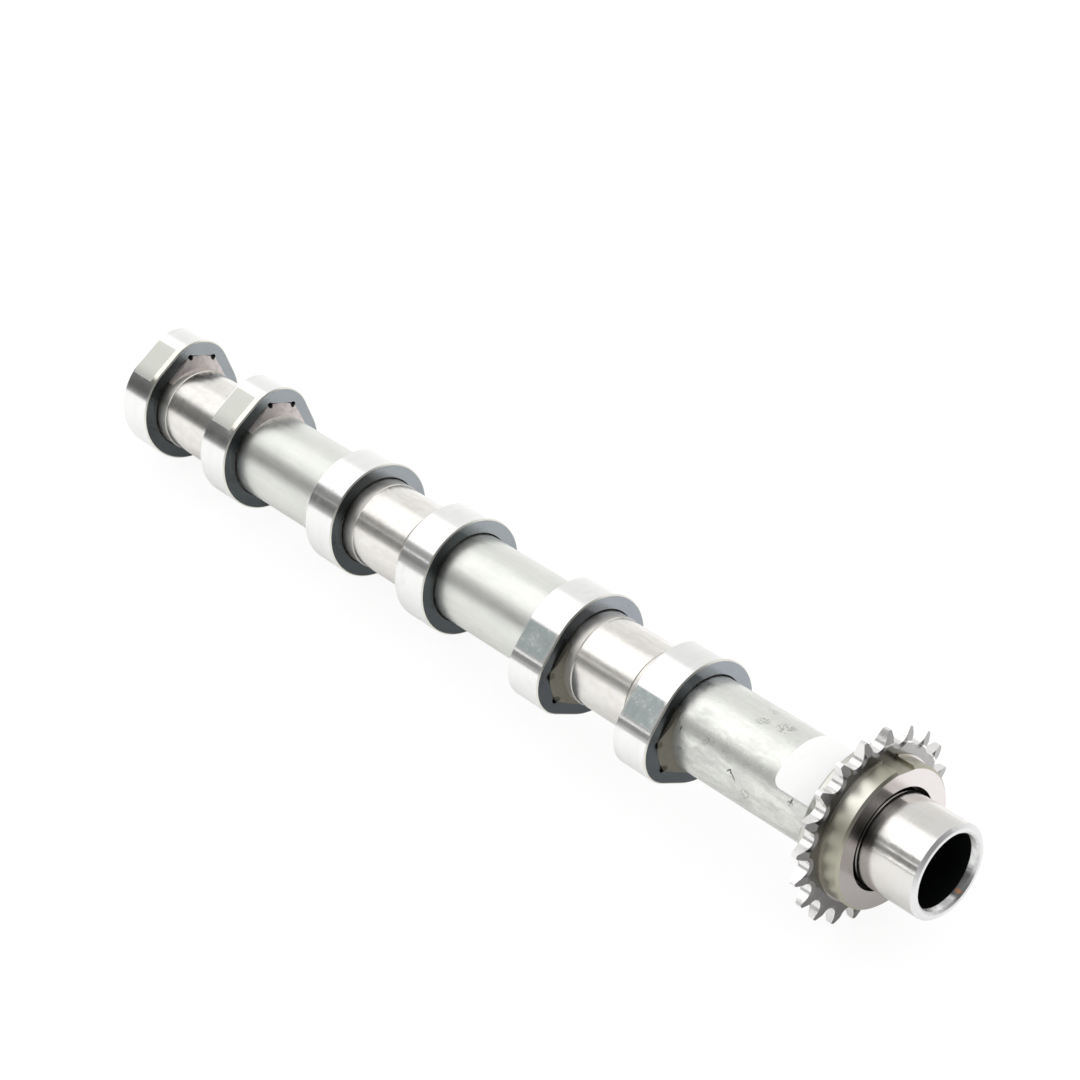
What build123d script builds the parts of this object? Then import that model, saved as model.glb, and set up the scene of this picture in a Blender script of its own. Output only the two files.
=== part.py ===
from build123d import *
import math
import os

# Hollow assembled camshaft for one bank of a V6: a steel tube carries three pairs of
# pressed-on lobes, a chain sprocket and a notched thrust collar, with a bare label.
# Millimetres. The shaft lies along X with the open nose at x = 0 and the rear end
# towards -X. Stations are distances behind the nose face. Angles round the shaft are
# counted from straight up, anticlockwise as seen from the nose.

# --- tube ---------------------------------------------------------------------------
TUBE_R = 13.6            # drawn outside radius, also the seat of the collar and the sprocket
JOURNAL_CUT = 0.2        # ground off the radius on the nose and the bearing journals
TUBE_WALL = 2.7          # drawn wall thickness
NOSE_LENGTH = 18.4       # nose face to the collar
NOSE_EDGE = 0.9          # bevel round the outside of the mouth
BORE_EDGE = 0.6          # bevel inside the mouth
TAIL = 2.0               # tube showing behind the last lobe
TAIL_EDGE = 0.5          # bevel round the rear end
GRIND_STEP = 0.4         # length of the cone between a ground and a drawn radius
LAND_LENGTH = 4.3        # drawn land left between a lobe and the journal beside it

# --- lobes --------------------------------------------------------------------------
LEAD_LENGTH = 85.4       # nose face to the front face of the first lobe
PAIR_SPACING = 42.4      # front face to front face inside a pair
CYLINDER_PITCH = 96.0    # distance between neighbouring pairs
PAIR_COUNT = 3
FIRST_NOSE_ANGLE = 102.3   # direction of the first pair's noses
PAIR_ANGLE = 120.0       # turn from one pair to the next, towards the rear
LOBE_WIDTH = 12.4
BASE_R = 18.2            # base circle radius
LIFT = 3.8               # nose height over the base circle
FLANK_ANGLE = 52.0       # half angle at which the flanks leave the base circle
LOBE_EDGE = 0.4          # bevel on the lobe's rim

# --- hydroformed seats that hold the lobes ------------------------------------------
SEAT_GROWTH = 0.4        # added to the drawn radius where the tube fills a lobe
SEAT_INSET = 0.9         # seat starts this far inside each lobe face
NOSE_WALL = 4.9          # lobe metal between the nose and the pocket's flat
POCKET_HALF = 4.2        # half spacing of the pocket's two corners
POCKET_CORNER = 1.0      # corner radius of the pocket
EAR_R = 1.0              # relief drilled into each corner of the pocket
EAR_OUT = 0.25           # how far the relief stands out from the corner, each way
BULGE_CORNER = 2.2       # corner radius of the bulged tube, which leaves the reliefs open
BULGE_FLARE = 1.8        # length over which the bulge rises outside the lobe face
HOLLOW_END = 2.2         # hollow inside the bulge stops this far inside the lobe faces

# --- chain sprocket -----------------------------------------------------------------
TEETH = 20
CHAIN_PITCH = 8.0
ROLLER_R = 2.5
SEAT_ANGLE = 135.0       # arc of the tooth gap that carries a roller
FLANK_R = 16.0           # radius of the convex tooth flank
TIP_HEIGHT = 2.1         # tooth tip over the pitch circle
TOOTH_WIDTH = 3.8
TIP_SLOPE = 3.7          # height over which the tooth sides slope in to the tip
TIP_BEVEL = 1.0          # width taken off each side at the tip
GAP_EDGE = 1.0           # width of the bevel along the tooth gaps on the front face
GAP_EDGE_DEPTH = 0.45
HUB_LAND = 2.2           # from the tooth roots in to the boss
HUB_LENGTH = 3.6         # boss behind the teeth
HUB_EDGE = 0.8

# --- thrust collar ------------------------------------------------------------------
COLLAR_R = 20.2
COLLAR_LENGTH = 6.2
COLLAR_EDGE = 0.7
FOOT_RIM = 0.5           # thin foot against the sprocket, proud of the collar by this much
FOOT_LENGTH = 0.5
RELIEF_WIDTH = 1.0       # relief round the nose in the collar's front face
RELIEF_DEPTH = 2.4
NOTCH_WIDTH = 6.1
NOTCH_DEPTH = 1.0
NOTCH_ANGLE = -9.7

# --- label --------------------------------------------------------------------------
LABEL_GAP = 1.6          # sprocket boss to the label
LABEL_WIDTH = 15.0
LABEL_ARC = 126.0        # degrees of the tube that it covers
LABEL_ANGLE = 0.0        # direction of its middle
LABEL_CORNER = 2.5
LABEL_THICKNESS = 0.15

PRESS_CLEAR = 0.01       # drawn clearance of every pressed seat
GLUE_CLEAR = 0.05        # film of glue under the label
CUT_PAST = 1.0           # how far a cutter runs past the faces it cuts

# --- sizes that follow --------------------------------------------------------------
BORE_R = TUBE_R - TUBE_WALL
JOURNAL_R = TUBE_R - JOURNAL_CUT
SEAT_R = TUBE_R + SEAT_GROWTH
NOSE_R = BASE_R + LIFT
POCKET_TOP = NOSE_R - NOSE_WALL
CORNER_X = POCKET_TOP - POCKET_CORNER
# direction that the pocket's sides face, counted from the nose direction
POCKET_SIDE = math.atan2(POCKET_HALF, CORNER_X) + math.acos(
    (SEAT_R + PRESS_CLEAR - POCKET_CORNER) / math.hypot(CORNER_X, POCKET_HALF))
PITCH_R = CHAIN_PITCH / (2 * math.sin(math.pi / TEETH))
TIP_R = PITCH_R + TIP_HEIGHT
HUB_R = PITCH_R - ROLLER_R - HUB_LAND
COLLAR_END = NOSE_LENGTH + COLLAR_LENGTH
DISC_END = COLLAR_END + TOOTH_WIDTH
HUB_END = DISC_END + HUB_LENGTH
REAR_FACE = LEAD_LENGTH + (PAIR_COUNT - 1) * CYLINDER_PITCH + PAIR_SPACING + LOBE_WIDTH
SHAFT_LENGTH = REAR_FACE + TAIL
TOOTH_ANGLE = 360.0 / TEETH


def station(s):
    """Cross-section plane at a station: local x is up, normal towards the nose."""
    return Plane(origin=(-s, 0, 0), x_dir=(0, 0, 1), z_dir=(1, 0, 0))


def turned(points):
    """Solid of revolution about the shaft from (station, radius) points."""
    outline = [(-s, 0, r) for s, r in points]
    return revolve(make_face(Polyline(*outline, close=True)), Axis.X)


def prism(sketch, front, rear):
    """Extrude a cross-section sketch from one station to another."""
    return extrude(station(rear) * sketch, rear - front)


def pair_front(pair):
    return LEAD_LENGTH + pair * CYLINDER_PITCH


def nose_angle(pair):
    return FIRST_NOSE_ANGLE + pair * PAIR_ANGLE


def lobe_places():
    """Front station and nose direction of each lobe, from the nose backwards."""
    return [(pair_front(pair) + offset, nose_angle(pair))
            for pair in range(PAIR_COUNT) for offset in (0.0, PAIR_SPACING)]


def hull(*circles):
    """Face round circles given as (x, y, radius)."""
    edges = [(Pos(x, y) * Circle(r)).edge() for x, y, r in circles]
    return make_hull(edges)


# --- tube ---------------------------------------------------------------------------
def tube_outline():
    """(station, radius) of the tube's outside, with the nose, journals and lobe seats."""
    pts = [(0.0, JOURNAL_R - NOSE_EDGE), (NOSE_EDGE, JOURNAL_R), (NOSE_LENGTH, JOURNAL_R),
           (NOSE_LENGTH + GRIND_STEP, TUBE_R)]
    ramp = SEAT_INSET / 2
    for pair in range(PAIR_COUNT):
        front = pair_front(pair)
        rear = front + PAIR_SPACING
        for face in (front, rear):
            pts += [(face + ramp, TUBE_R), (face + SEAT_INSET, SEAT_R),
                    (face + LOBE_WIDTH - SEAT_INSET, SEAT_R), (face + LOBE_WIDTH - ramp, TUBE_R)]
            if face == front:
                start, end = front + LOBE_WIDTH + LAND_LENGTH, rear - LAND_LENGTH
                pts += [(start, TUBE_R), (start + GRIND_STEP, JOURNAL_R),
                        (end - GRIND_STEP, JOURNAL_R), (end, TUBE_R)]
    return pts + [(SHAFT_LENGTH - TAIL_EDGE, TUBE_R), (SHAFT_LENGTH, TUBE_R - TAIL_EDGE)]


def pocket_flank(inset, top):
    """Line inset from the pocket's side: its point nearest the axis and its point at the height top."""
    c, s = math.cos(POCKET_SIDE), math.sin(POCKET_SIDE)
    away = SEAT_R + PRESS_CLEAR - inset
    foot = (away * c, away * s)
    return foot, (top, (away - top * c) / s)


def bulge_section():
    """Bulge under the nose, a press clearance inside the pocket, without the round tube beyond its sides."""
    x = POCKET_TOP - PRESS_CLEAR - BULGE_CORNER
    y = pocket_flank(PRESS_CLEAR + BULGE_CORNER, x)[1][1]
    far_x, far_y = 2 * NOSE_R * math.cos(POCKET_SIDE), 2 * NOSE_R * math.sin(POCKET_SIDE)
    wedge = make_face(Polyline((0, 0), (far_x, far_y), (far_x, -far_y), close=True))
    return hull((0, 0, SEAT_R), (x, y, BULGE_CORNER), (x, -y, BULGE_CORNER)) & wedge


def bulge(front):
    """Tube wall pushed out into the nose side of one lobe, flared at both faces."""
    rear = front + LOBE_WIDTH
    block = prism(bulge_section(), front - BULGE_FLARE, rear + BULGE_FLARE)
    limit = turned([(front - BULGE_FLARE, 0), (front - BULGE_FLARE, TUBE_R), (front, POCKET_TOP),
                    (rear, POCKET_TOP), (rear + BULGE_FLARE, TUBE_R), (rear + BULGE_FLARE, 0)])
    return block & limit


def bulge_hollow(front):
    """Hollow inside the bulge, one tube wall inside the pocket's top and sides."""
    foot, corner = pocket_flank(TUBE_WALL, POCKET_TOP - TUBE_WALL)
    mirrored = [(corner[0], -corner[1]), (foot[0], -foot[1])]
    section = make_face(Polyline((0, 0), foot, corner, *mirrored, close=True))
    return prism(section, front + HOLLOW_END, front + LOBE_WIDTH - HOLLOW_END)


def make_tube():
    shaft = turned([(0, 0)] + tube_outline() + [(SHAFT_LENGTH, 0)])
    for front, angle in lobe_places():
        shaft += Rot(X=angle) * bulge(front)
    shaft -= turned([(0, 0), (0, BORE_R + BORE_EDGE), (BORE_EDGE, BORE_R),
                     (SHAFT_LENGTH, BORE_R), (SHAFT_LENGTH, 0)])
    for front, angle in lobe_places():
        shaft -= Rot(X=angle) * bulge_hollow(front)
    return shaft


# --- lobes --------------------------------------------------------------------------
def cam_profile():
    """Base circle and nose arc joined by straight flanks, nose towards local x."""
    c = math.cos(math.radians(FLANK_ANGLE))
    tip_r = (BASE_R - NOSE_R * c) / (1 - c)
    return hull((0, 0, BASE_R), (NOSE_R - tip_r, 0, tip_r))


def lobe_hole():
    """Opening in a lobe: seat circle with a flat-topped pocket under the nose, relieved at its corners."""
    hole = hull((0, 0, SEAT_R + PRESS_CLEAR), (CORNER_X, POCKET_HALF, POCKET_CORNER),
                (CORNER_X, -POCKET_HALF, POCKET_CORNER))
    for side in (1, -1):
        hole += Pos(CORNER_X + EAR_OUT, side * (POCKET_HALF + EAR_OUT)) * Circle(EAR_R)
    return hole


def make_lobe(front, angle):
    rear = front + LOBE_WIDTH
    body = prism(cam_profile(), front, rear)
    body = chamfer(body.faces().filter_by(Axis.X).edges(), LOBE_EDGE)
    body -= prism(lobe_hole(), front, rear)
    return Rot(X=angle) * body


# --- chain sprocket -----------------------------------------------------------------
def gap_outline(grow):
    """Tooth gap centred on local x: roller seat arc and two convex flanks, grown by an offset."""
    seat_r = ROLLER_R + grow
    flank_r = FLANK_R - grow
    half = math.radians(SEAT_ANGLE / 2)
    ux, uy = -math.cos(half), math.sin(half)
    low = (PITCH_R + seat_r * ux, seat_r * uy)
    ex, ey = PITCH_R + (seat_r + flank_r) * ux, (seat_r + flank_r) * uy
    reach = TIP_R + CUT_PAST
    d = math.hypot(ex, ey)
    a = math.atan2(ey, ex) - math.acos((d * d + reach * reach - flank_r * flank_r) / (2 * d * reach))
    top = (reach * math.cos(a), reach * math.sin(a))
    mid_dir = math.atan2((low[1] + top[1]) / 2 - ey, (low[0] + top[0]) / 2 - ex)
    mid = (ex + flank_r * math.cos(mid_dir), ey + flank_r * math.sin(mid_dir))
    seat = ThreePointArc((low[0], -low[1]), (PITCH_R - seat_r, 0), low)
    up = ThreePointArc(low, mid, top)
    close = Line(top, (top[0], -top[1]))
    down = ThreePointArc((top[0], -top[1]), (mid[0], -mid[1]), (low[0], -low[1]))
    return make_face([seat, up, close, down])


def tooth_gap():
    """Cutter for one tooth gap, bevelled at the front face of the disc."""
    plain = prism(gap_outline(0), COLLAR_END - CUT_PAST, DISC_END + CUT_PAST)
    wide = station(COLLAR_END) * gap_outline(GAP_EDGE)
    narrow = station(COLLAR_END + GAP_EDGE_DEPTH) * gap_outline(0)
    return plain + loft([wide, narrow])


def make_sprocket():
    bore = TUBE_R + PRESS_CLEAR
    slope_r = TIP_R - TIP_SLOPE
    disc = turned([(COLLAR_END, bore), (COLLAR_END, slope_r), (COLLAR_END + TIP_BEVEL, TIP_R),
                   (DISC_END - TIP_BEVEL, TIP_R), (DISC_END, slope_r), (DISC_END, bore)])
    gap = tooth_gap()
    cutters = [Rot(X=i * TOOTH_ANGLE) * gap for i in range(TEETH)]
    disc -= cutters
    inside = (COLLAR_END + DISC_END) / 2
    boss = turned([(inside, bore), (inside, HUB_R), (HUB_END - HUB_EDGE, HUB_R),
                   (HUB_END, HUB_R - HUB_EDGE), (HUB_END, bore)])
    return disc + boss


# --- collar and label ---------------------------------------------------------------
def make_collar():
    bore = TUBE_R + PRESS_CLEAR
    relief_r = TUBE_R + RELIEF_WIDTH
    foot_r = COLLAR_R + FOOT_RIM
    ring = turned([(NOSE_LENGTH, relief_r), (NOSE_LENGTH, COLLAR_R - COLLAR_EDGE),
                   (NOSE_LENGTH + COLLAR_EDGE, COLLAR_R), (COLLAR_END - FOOT_LENGTH, COLLAR_R),
                   (COLLAR_END - FOOT_LENGTH, foot_r), (COLLAR_END, foot_r), (COLLAR_END, bore),
                   (NOSE_LENGTH + RELIEF_DEPTH, bore), (NOSE_LENGTH + RELIEF_DEPTH, relief_r)])
    height = NOTCH_DEPTH + FOOT_RIM + CUT_PAST
    notch = Pos(-(NOSE_LENGTH + COLLAR_END) / 2, 0, COLLAR_R - NOTCH_DEPTH + height / 2) * Box(
        COLLAR_LENGTH + 2 * CUT_PAST, NOTCH_WIDTH, height)
    return ring - Rot(X=NOTCH_ANGLE) * notch


def label_corner(end, side):
    """Cutter that rounds one corner of the label; its axis is radial."""
    inner = TUBE_R + GLUE_CLEAR
    turn = side * (LABEL_ARC / 2 - math.degrees(math.asin(LABEL_CORNER / inner)))
    x = -(HUB_END + LABEL_GAP + LABEL_WIDTH / 2) + end * (LABEL_WIDTH / 2 - LABEL_CORNER)
    size = LABEL_CORNER + CUT_PAST
    height = 2 * CUT_PAST
    square = Pos(end * size / 2, -side * size / 2, 0) * Box(size, size, height)
    return Rot(X=turn) * Pos(x, 0, inner) * (square - Cylinder(LABEL_CORNER, height))


def make_label():
    front = HUB_END + LABEL_GAP
    inner = TUBE_R + GLUE_CLEAR
    outer = inner + LABEL_THICKNESS
    section = make_face(Polyline((-front, 0, inner), (-front, 0, outer), (-front - LABEL_WIDTH, 0, outer),
                                 (-front - LABEL_WIDTH, 0, inner), close=True))
    sheet = revolve(Rot(X=-LABEL_ARC / 2) * section, Axis.X, LABEL_ARC)
    sheet -= [label_corner(end, side) for end in (1, -1) for side in (1, -1)]
    return Rot(X=LABEL_ANGLE) * sheet


os.makedirs("parts", exist_ok=True)
export_step(make_tube(), "parts/shaft_tube.step")
names = ["lobe_%d_%s" % (pair + 1, end) for pair in range(PAIR_COUNT) for end in ("front", "rear")]
for name, (front, angle) in zip(names, lobe_places()):
    export_step(make_lobe(front, angle), "parts/%s.step" % name)
export_step(make_sprocket(), "parts/sprocket.step")
export_step(make_collar(), "parts/thrust_collar.step")
export_step(make_label(), "parts/label.step")
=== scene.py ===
import math
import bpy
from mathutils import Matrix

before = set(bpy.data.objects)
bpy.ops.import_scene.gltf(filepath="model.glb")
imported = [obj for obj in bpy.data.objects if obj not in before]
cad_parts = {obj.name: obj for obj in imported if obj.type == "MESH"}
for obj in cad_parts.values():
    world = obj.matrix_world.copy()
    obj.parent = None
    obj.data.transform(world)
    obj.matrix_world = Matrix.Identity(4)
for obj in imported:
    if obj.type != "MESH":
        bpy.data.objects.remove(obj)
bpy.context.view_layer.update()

from types import SimpleNamespace

import bpy
import numpy as np
from bpy.props import FloatProperty, FloatVectorProperty, PointerProperty
from mathutils import Matrix, Vector

bl_info = {
    "name": "Assembled camshaft",
    "version": (1, 0, 0),
    "blender": (4, 5, 0),
    "location": "View3D > Sidebar > Camshaft",
    "description": "Finishes a hollow assembled camshaft and sets it in a plain studio",
    "category": "Object",
}

# The shaft lies along X with its nose face at x = 0 and its rear end towards -X.
# Stations are millimetres behind the nose face, angles are degrees from straight up,
# anticlockwise as seen from the nose.
LOBES = ["lobe_%d_%s" % (pair, end) for pair in (1, 2, 3) for end in ("front", "rear")]
TUBE_R = 13.6
BORE_R = 10.9
NOSE_LENGTH = 18.4
COLLAR_RELIEF_R = 14.7
FIRST_LOBE = 85.4          # nose face to the front face of the first lobe
LOBE_WIDTH = 12.4
PAIR_STEP = 42.4           # front face to front face inside a pair
PITCH = 96.0               # from one pair to the next
FIRST_NOSE_ANGLE = 102.3   # where the noses of the first pair point
PAIR_ANGLE = 120.0         # turn from one pair to the next
LAND = 4.3                 # drawn land between a lobe and the journal beside it
JOURNAL_START = LOBE_WIDTH + LAND
JOURNAL_END = PAIR_STEP - LAND
HOLE_ALONG = 16.45         # corner hole of a pocket: its height towards the nose
HOLE_ACROSS = 4.4          # and its distance from the middle line
TEETH_FRONT, TEETH_REAR = 24.0, 28.45
RIDGE_HIGHLIGHT_R = (23.6, 24.05)    # painted highlight of a ridge round the sprocket below its teeth

# Matt strips on a cam track: degrees from the nose, and where they start and end behind the front face.
CLOSING_STRIP, CLOSING_START = (25.5, 64.5), 2.4
OPENING_STRIP, OPENING_START = (-54.5, -29.5), 1.2
STRIP_END = 11.7

# Stations between which one look gives way to the next along the shaft.
MOUTH_TO_BORE = (2.35, 2.55)
DRIVE_TO_LOBES = (60.0, 70.0)
STREAKED_TO_CALM = (95.0, 130.0)
FRONT_PAIR_TO_REST = (150.0, 170.0)
OILY_TO_CLEAN_SEATS = (200.0, 260.0)

# Colours that are not settings.
HOLE_SHADE_BLACK = (0.012, 0.012, 0.012)
BROWN_GRIME_AND_SHADE = (0.20, 0.19, 0.155)
RUST = (0.80, 0.42, 0.24)

# Table and camera, in metres. A rest is the (x, z) of a place on the table: one under the sprocket's
# lowest teeth, one under the last lobe.
REST_FRONT = (-0.0274, -0.02735)
REST_REAR = (-0.3318, -0.01822)
TABLE_MIDDLE = -0.167
TABLE_RADIUS = 2.0
TABLE_GLOW = 0.875         # light it gives off towards the camera, over nearly dark paper
MIRROR_GLOW = 0.12         # and in mirrors
DIM_PAPER = (0.15, 0.15, 0.15)
CAMERA_PLACE = (0.32146, -0.41180, 0.41362)
CAMERA_RIGHT = (0.66086, 0.75046, -0.00808)
CAMERA_UP = (-0.38979, 0.35242, 0.85081)


# --- settings a user would change ------------------------------------------------------
def colour(name, words, value):
    """A colour setting."""
    return FloatVectorProperty(name=name, description=words, subtype="COLOR", size=3,
                               min=0.0, max=1.0, default=value)


def factor(name, words, value):
    """A setting from 0 to 1."""
    return FloatProperty(name=name, description=words, subtype="FACTOR",
                         min=0.0, max=1.0, default=value)


class TubeFinish(bpy.types.PropertyGroup):
    """Colours and polish of the tube."""
    nose: colour("Ground nose", "Colour of the ground nose", (0.72, 0.71, 0.69))
    journal: colour("Ground journals", "Colour of the ground bearing journals", (0.82, 0.81, 0.785))
    drawn: colour("Drawn steel", "Colour of the tube as drawn, between the lobes", (0.78, 0.79, 0.75))
    bore: colour("Bore", "Colour of the oily inside", (0.03, 0.032, 0.034))
    nose_roughness: factor("Nose roughness", "Roughness of the ground nose", 0.13)
    journal_roughness: factor("Journal roughness", "Roughness of the ground journals", 0.20)
    drawn_roughness: factor("Drawn roughness", "Roughness of the drawn zones", 0.32)


class LobeFinish(bpy.types.PropertyGroup):
    """Colours and polish of the lobes."""
    track: colour("Cam track", "Colour of the ground running surface", (0.86, 0.86, 0.85))
    face: colour("Lobe face", "Colour of the dark hardened side faces", (0.33, 0.355, 0.39))
    track_roughness: factor("Track roughness", "Roughness of the running surface", 0.14)
    face_roughness: factor("Face roughness", "Roughness of the side faces", 0.19)


class DriveFinish(bpy.types.PropertyGroup):
    """Colours of the sprocket, the collar and the label."""
    disc: colour("Sprocket side", "Colour of the dark sides of the teeth", (0.64, 0.63, 0.63))
    gap: colour("Tooth gap", "Colour of the gaps polished by the chain", (0.82, 0.81, 0.80))
    collar: colour("Collar", "Colour of the ground thrust collar", (0.78, 0.735, 0.725))
    paper: colour("Label", "Colour of the bare label", (0.96, 0.96, 0.955))


class StudioSettings(bpy.types.PropertyGroup):
    """Camera and light."""
    lens: FloatProperty(name="Focal length", description="Lens of the camera",
                        subtype="DISTANCE_CAMERA", min=10.0, max=300.0, default=89.28)
    sky: FloatProperty(name="Tent", description="Strength of the white tent and its soft box",
                       min=0.0, max=3.0, default=1.0)
    floor: colour("Floor", "Colour of the table", (0.95, 0.95, 0.95))


# --- node helpers ----------------------------------------------------------------------
def is_socket(value):
    """True for a node's socket, false for a plain value."""
    return isinstance(value, bpy.types.NodeSocket)


def connect(tree, node, inputs):
    """Links each input of a node to a socket, or sets it to a value."""
    for key, value in inputs.items():
        if is_socket(value):
            tree.links.new(value, node.inputs[key])
        else:
            node.inputs[key].default_value = value


def put(tree, kind, inputs, **settings):
    """Adds one node with its inputs; settings are its own attributes."""
    node = tree.nodes.new(kind)
    for name, value in settings.items():
        setattr(node, name, value)
    connect(tree, node, inputs)
    return node


def calc(tree, operation, a, b=0.0, c=0.0, clamp=False):
    """One step of arithmetic."""
    return put(tree, "ShaderNodeMath", {0: a, 1: b, 2: c}, operation=operation, use_clamp=clamp).outputs[0]


def times(tree, first, *others):
    """Product of masks and numbers."""
    for other in others:
        first = calc(tree, "MULTIPLY", first, other)
    return first


def scaled(tree, value, share, start):
    """start plus a share of the value."""
    return calc(tree, "MULTIPLY_ADD", value, share, start)


def outside(tree, mask):
    """1 where the mask is 0."""
    return calc(tree, "SUBTRACT", 1.0, mask)


def away(tree, value, middle):
    """How far a value is from the middle, on either side."""
    return calc(tree, "ABSOLUTE", calc(tree, "SUBTRACT", value, middle))


def length_of(tree, u, v):
    """Root of the sum of two squares."""
    return calc(tree, "SQRT", calc(tree, "ADD", times(tree, u, u), times(tree, v, v)))


def rgba(value):
    """A colour with full alpha."""
    return (value[0], value[1], value[2], 1.0)


def paint(tree, under, mask, over, share=1.0):
    """One colour laid over another where the mask is 1, at a share of its strength."""
    if is_socket(share) or share != 1.0:
        mask = times(tree, mask, share)
    under, over = (value if is_socket(value) else rgba(value) for value in (under, over))
    return put(tree, "ShaderNodeMix", {0: mask, 6: under, 7: over}, data_type="RGBA").outputs[2]


def blend(tree, mask, a, b):
    """Value a where the mask is 0 and b where it is 1."""
    return put(tree, "ShaderNodeMix", {0: mask, 2: a, 3: b}, data_type="FLOAT").outputs[0]


def smooth_range(tree, value, low, high, out_low=0.0, out_high=1.0):
    """Eases from out_low at low to out_high at high."""
    return put(tree, "ShaderNodeMapRange", {0: value, 1: low, 2: high, 3: out_low, 4: out_high},
               interpolation_type="SMOOTHSTEP").outputs[0]


def noise_at(tree, where, scale, detail, roughness=0.5):
    """Noise at a place: its value, then its colour."""
    return put(tree, "ShaderNodeTexNoise", {"Vector": where, "Scale": scale, "Detail": detail,
                                            "Roughness": roughness}).outputs


def vector(tree, operation, a, b):
    """One step of vector arithmetic; SCALE takes a number as b."""
    key = 3 if operation == "SCALE" else 1
    return put(tree, "ShaderNodeVectorMath", {0: a, key: b}, operation=operation).outputs[0]


# --- shared effects --------------------------------------------------------------------
EFFECTS = {}
MASK = {"Mask": "Float"}     # outputs of an effect: name of the socket and its kind
VALUE = {"Value": "Float"}
ZERO = (0.0, 0.0, 0.0)


def shared_effect(name, inputs, outputs):
    """Keeps the builder of a shader group: it takes the tree and the group's inputs and returns its
    outputs."""
    def keep(build):
        EFFECTS[name] = build, inputs, outputs
        return build
    return keep


def group_of(name):
    """The shader group of a shared effect, built when it is first used."""
    if name in bpy.data.node_groups:
        return bpy.data.node_groups[name]
    build, inputs, outputs = EFFECTS[name]
    group = bpy.data.node_groups.new(name, "ShaderNodeTree")
    for label, value in inputs.items():
        kind = "NodeSocketVector" if isinstance(value, tuple) else "NodeSocketFloat"
        group.interface.new_socket(label, in_out="INPUT", socket_type=kind).default_value = value
    for label, kind in outputs.items():
        group.interface.new_socket(label, in_out="OUTPUT", socket_type="NodeSocket" + kind)
    given = group.nodes.new("NodeGroupInput").outputs[:len(inputs)]
    out = group.nodes.new("NodeGroupOutput")
    for socket, value in zip(out.inputs, build(group, *given)):
        group.links.new(value, socket)
    return group


def use(tree, name, **inputs):
    """Places a shared effect; an underscore in a keyword stands for a space in the socket's name."""
    named = {key.replace("_", " "): value for key, value in inputs.items()}
    node = tree.nodes.new("ShaderNodeGroup")
    node.node_tree = group_of(name)
    connect(tree, node, named)
    return node.outputs


def effect(tree, name, **inputs):
    """The first output of a shared effect."""
    return use(tree, name, **inputs)[0]


def band(tree, value, low, high, fade):
    """Mask of the values between low and high."""
    return effect(tree, "Band", Value=value, Low=low, High=high, Fade=fade)


def lines(tree, mm, stretch, detail, contrast, bend=0.0):
    """Lines of drawing or grinding; a small stretch makes them long that way."""
    return effect(tree, "Tool Lines", Millimetres=mm, Stretch=stretch, Detail=detail,
                  Contrast=contrast, Bend=bend)


def patches(tree, mm, size, contrast):
    """Soft patches of a size in millimetres."""
    return effect(tree, "Blotches", Millimetres=mm, Size=size, Contrast=contrast)


@shared_effect("Shaft Place", {}, {"Millimetres": "Vector", "Station": "Float", "Radius": "Float",
                                   "Angle": "Float", "Side Face": "Float"})
def shaft_place(g):
    """Where a point is on the shaft: station and radius in millimetres, angle in degrees."""
    where = g.nodes.new("ShaderNodeTexCoord").outputs["Object"]
    mm = vector(g, "SCALE", where, 1000.0)
    x, y, z = put(g, "ShaderNodeSeparateXYZ", {0: mm}).outputs
    angle = calc(g, "DEGREES", calc(g, "ARCTAN2", times(g, y, -1.0), z))
    normal = g.nodes.new("ShaderNodeNewGeometry").outputs["True Normal"]
    side = calc(g, "ABSOLUTE", put(g, "ShaderNodeSeparateXYZ", {0: normal}).outputs[0])
    return mm, times(g, x, -1.0), length_of(g, y, z), angle, side


@shared_effect("Lobe Place", {"Station": 0.0, "Radius": 0.0, "Angle": 0.0},
               {"Inset": "Float", "From Nose": "Float", "Along": "Float", "Across": "Float"})
def lobe_place(g, station, radius, angle):
    """Where a point is on its lobe: inset behind its front face, angle from its nose, height along
    the nose direction and offset across it."""
    pairs_back = calc(g, "DIVIDE", calc(g, "SUBTRACT", station, FIRST_LOBE - PITCH / 4), PITCH)
    pair = calc(g, "FLOOR", pairs_back)
    inset = calc(g, "SUBTRACT", calc(g, "SUBTRACT", station, FIRST_LOBE), times(g, pair, PITCH))
    on_rear_lobe = calc(g, "GREATER_THAN", inset, PAIR_STEP / 2)
    inset = calc(g, "SUBTRACT", inset, times(g, on_rear_lobe, PAIR_STEP))
    nose = scaled(g, pair, PAIR_ANGLE, FIRST_NOSE_ANGLE)
    turn = calc(g, "WRAP", calc(g, "SUBTRACT", angle, nose), 180.0, -180.0)
    lean = calc(g, "RADIANS", turn)
    along = times(g, radius, calc(g, "COSINE", lean))
    across = calc(g, "ABSOLUTE", times(g, radius, calc(g, "SINE", lean)))
    return inset, turn, along, across


@shared_effect("Corner Hole", {"Along": 0.0, "Across": 0.0, "Size": 0.8}, MASK)
def corner_hole(g, along, across, size):
    """The drilled relief at each corner of a pocket: a soft-edged disc round its centre."""
    reach = length_of(g, calc(g, "SUBTRACT", along, HOLE_ALONG), calc(g, "SUBTRACT", across, HOLE_ACROSS))
    return [smooth_range(g, reach, times(g, size, 0.75), times(g, size, 1.15), 1.0, 0.0)]


@shared_effect("Painted Low Left Shade", {"Angle": 0.0, "Turn": 50.0, "Low": -0.3, "High": 0.75}, MASK)
def oil_film(g, angle, turn, low, high):
    """Painted shade on the lower left of a side face: the cosine of the turned angle, eased from high
    to low."""
    lean = calc(g, "RADIANS", calc(g, "ADD", angle, turn))
    return [smooth_range(g, calc(g, "COSINE", lean), low, high, 1.0, 0.0)]


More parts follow.
